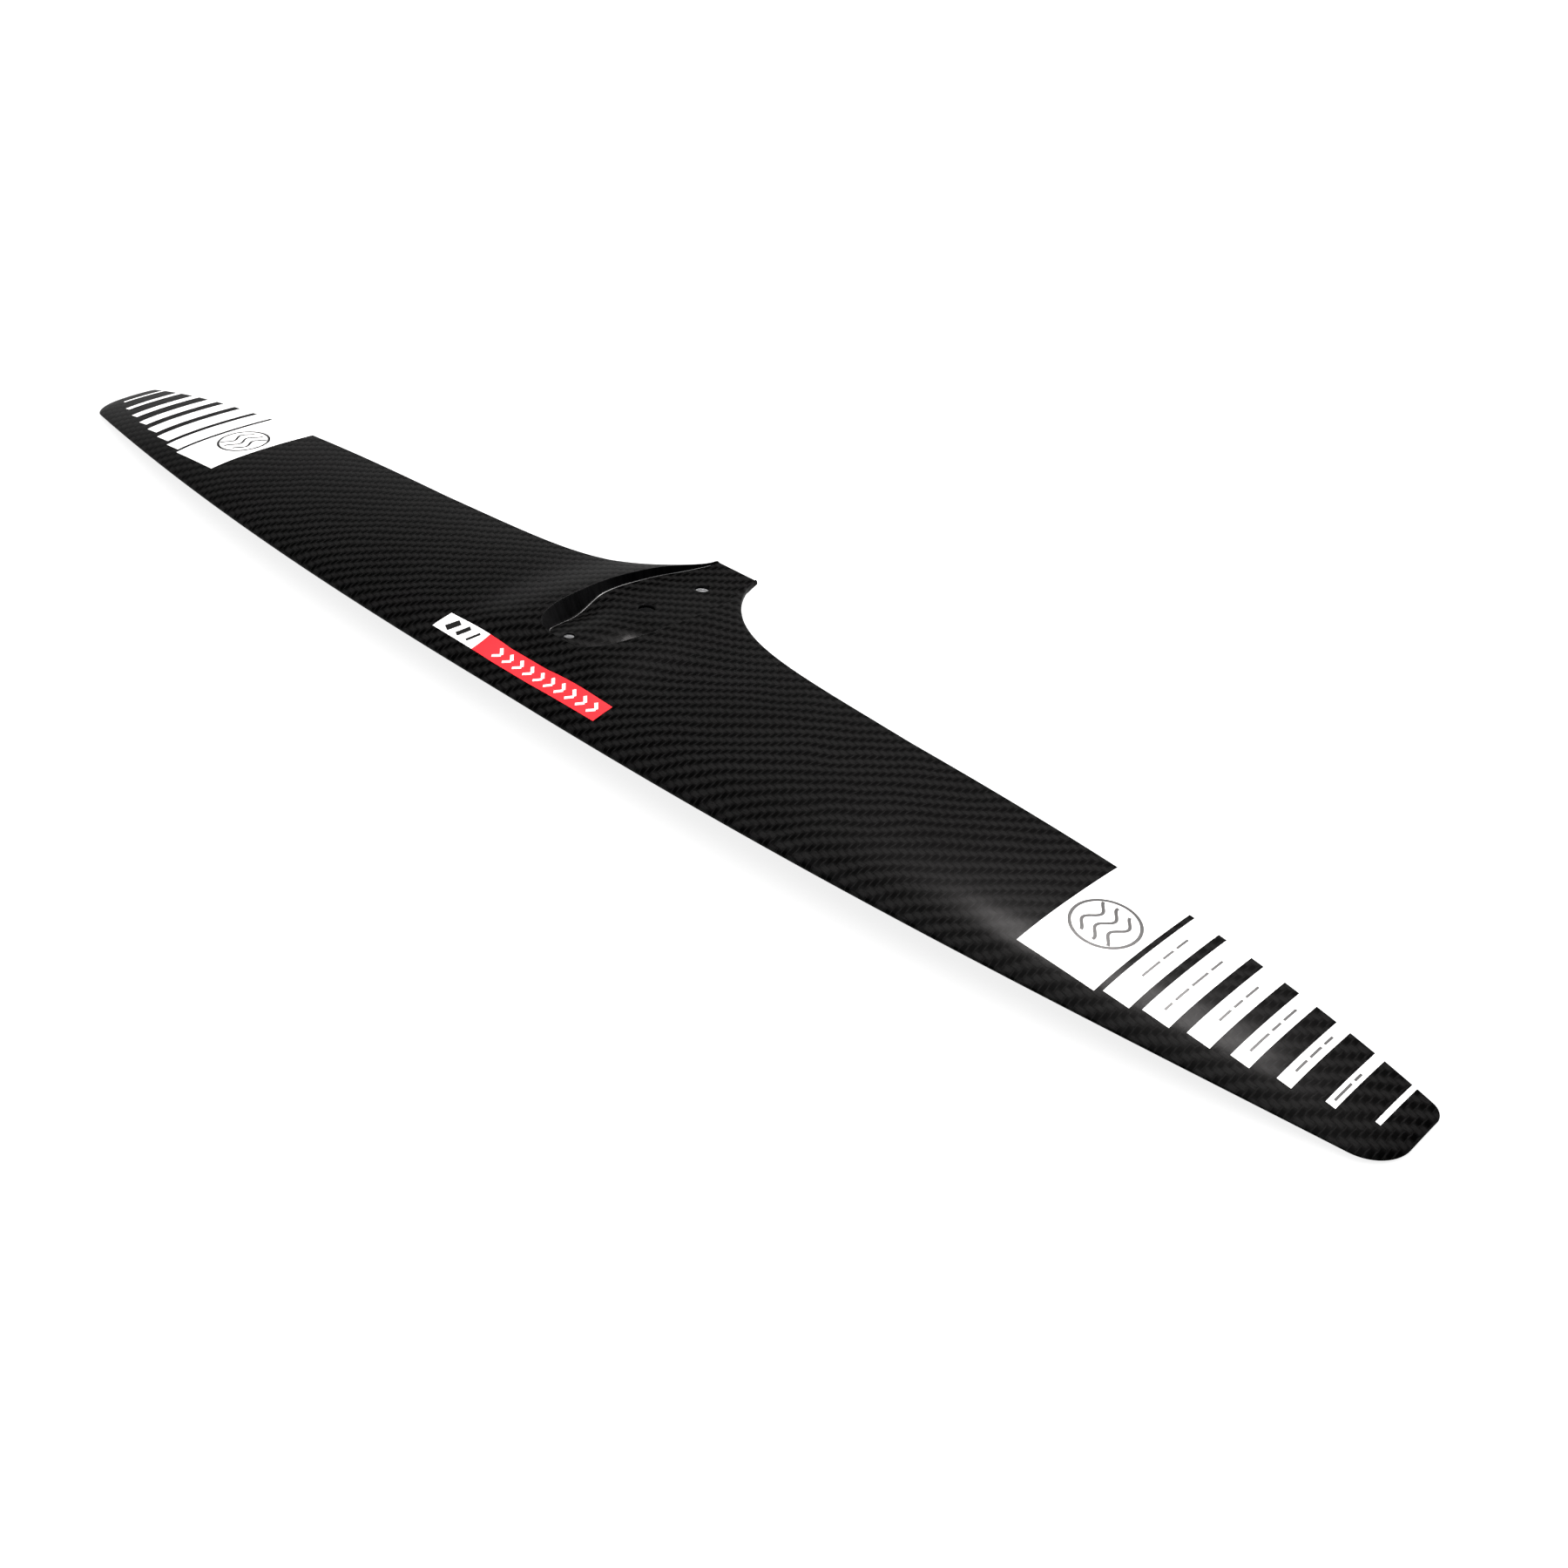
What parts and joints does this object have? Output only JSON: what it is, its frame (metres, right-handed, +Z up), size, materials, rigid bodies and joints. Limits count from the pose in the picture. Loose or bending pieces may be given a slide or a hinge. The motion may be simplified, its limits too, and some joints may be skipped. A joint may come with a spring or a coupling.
{
  "type": "hydrofoil front wing",
  "caption": "High-aspect moulded carbon hydrofoil front wing with drooped tips, a bolt-up fuselage seat and a square tail tab.",
  "frame": {"origin": "bottom centre of the wing's bounding box, on the centre plane below the root chord", "axes": "+X along the span to the right tip, +Y back to the trailing edge and the tail, +Z up"},
  "size_m": [0.899, 0.1612, 0.0302],
  "materials": {
    "carbon_twill": "glossy clear-coated twill carbon",
    "seat_gloss_black": "glossy moulded carbon seat, black",
    "foam_core": "closed-cell foam",
    "solid_laminate": "machined solid laminate",
    "unidirectional_carbon": "bare unidirectional carbon",
    "bush_steel": "turned stainless steel",
    "film_white": "satin printed film",
    "film_red": "satin printed film"
  },
  "bodies": {
    "root": {"upper_skin": "carbon_twill", "lower_skin": "carbon_twill", "fuselage_seat": "seat_gloss_black", "hardpoint_block": "solid_laminate", "bolt_bush_front": "bush_steel", "bolt_bush_rear": "bush_steel", "leading_edge_filler_left": "unidirectional_carbon", "front_core_left": "foam_core", "spar_cap_upper_left": "unidirectional_carbon", "spar_cap_lower_left": "unidirectional_carbon", "shear_web_left": "unidirectional_carbon", "outer_spar_left": "unidirectional_carbon", "rear_core_left": "foam_core", "trailing_edge_filler_left": "unidirectional_carbon", "tip_block_left": "unidirectional_carbon", "leading_edge_filler_right": "unidirectional_carbon", "front_core_right": "foam_core", "spar_cap_upper_right": "unidirectional_carbon", "spar_cap_lower_right": "unidirectional_carbon", "shear_web_right": "unidirectional_carbon", "outer_spar_right": "unidirectional_carbon", "rear_core_right": "foam_core", "trailing_edge_filler_right": "unidirectional_carbon", "tip_block_right": "unidirectional_carbon", "tip_panel_left": "film_white", "tip_stripe_1_left": "film_white", "tip_stripe_2_left": "film_white", "tip_stripe_3_left": "film_white", "tip_stripe_4_left": "film_white", "tip_stripe_5_left": "film_white", "tip_stripe_6_left": "film_white", "tip_stripe_7_left": "film_white", "tip_panel_right": "film_white", "tip_stripe_1_right": "film_white", "tip_stripe_2_right": "film_white", "tip_stripe_3_right": "film_white", "tip_stripe_4_right": "film_white", "tip_stripe_5_right": "film_white", "tip_stripe_6_right": "film_white", "tip_stripe_7_right": "film_white", "label_white": "film_white", "label_red": "film_red"}
  },
  "joints": []
}
